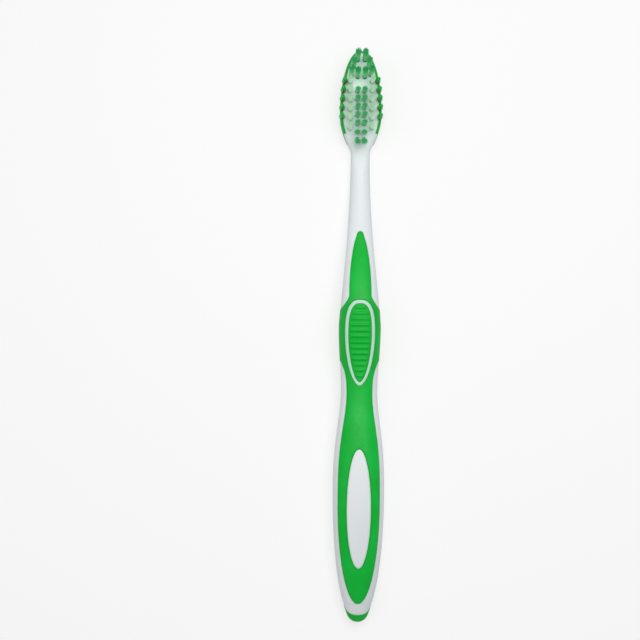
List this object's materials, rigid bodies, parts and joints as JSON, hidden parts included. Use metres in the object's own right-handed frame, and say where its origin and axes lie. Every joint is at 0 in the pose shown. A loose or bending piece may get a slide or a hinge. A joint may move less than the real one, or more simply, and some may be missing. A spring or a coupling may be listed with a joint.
{
  "type": "manual toothbrush",
  "caption": "Manual toothbrush with a bent white handle, soft green grip, ringed thumb pad, tufted head with massage fingers along its rim, and a tongue cleaner on its back.",
  "frame": {"origin": "middle of the brush's footprint, on the surface that it lies on with its bristles up", "axes": "+Y runs from the tail to the tip of the head, +Z out of the bristle side, +X across the brush"},
  "size_m": [0.0168, 0.188, 0.0185],
  "materials": {
    "white_plastic": "glossy white moulded plastic",
    "green_soft": "satin green soft overmoulding",
    "deep_green_soft": "satin deeper green soft overmoulding with cross ribs",
    "nylon_pale": "pale translucent nylon filaments",
    "nylon_green": "green translucent nylon filaments",
    "anchor_brass": "plain cut sheet"
  },
  "bodies": {
    "root": {"handle_core": "white_plastic", "grip_sleeve": "green_soft", "thumb_pad": "green_soft", "head_surround": "green_soft", "tongue_cleaner": "deep_green_soft", "tuft_anchors": "anchor_brass", "tip_tuft_1": "nylon_green", "tip_tuft_2": "nylon_green", "tip_tuft_3": "nylon_green", "tip_tuft_4": "nylon_green", "tip_tuft_5": "nylon_green", "tip_tuft_6": "nylon_green", "tip_tuft_7": "nylon_green", "tip_tuft_8": "nylon_green", "outer_tuft_left_1": "nylon_pale", "outer_tuft_left_2": "nylon_pale", "outer_tuft_left_3": "nylon_pale", "outer_tuft_left_4": "nylon_pale", "outer_tuft_left_5": "nylon_pale", "outer_tuft_left_6": "nylon_pale", "outer_tuft_right_1": "nylon_pale", "outer_tuft_right_2": "nylon_pale", "outer_tuft_right_3": "nylon_pale", "outer_tuft_right_4": "nylon_pale", "outer_tuft_right_5": "nylon_pale", "outer_tuft_right_6": "nylon_pale", "inner_tuft_left_1": "nylon_green", "inner_tuft_left_2": "nylon_green", "inner_tuft_left_3": "nylon_green", "inner_tuft_left_4": "nylon_green", "inner_tuft_left_5": "nylon_green", "inner_tuft_right_1": "nylon_green", "inner_tuft_right_2": "nylon_green", "inner_tuft_right_3": "nylon_green", "inner_tuft_right_4": "nylon_green", "inner_tuft_right_5": "nylon_green", "heel_tuft_1": "nylon_green", "heel_tuft_2": "nylon_green", "heel_tuft_3": "nylon_green", "heel_tuft_4": "nylon_green"}
  },
  "joints": []
}
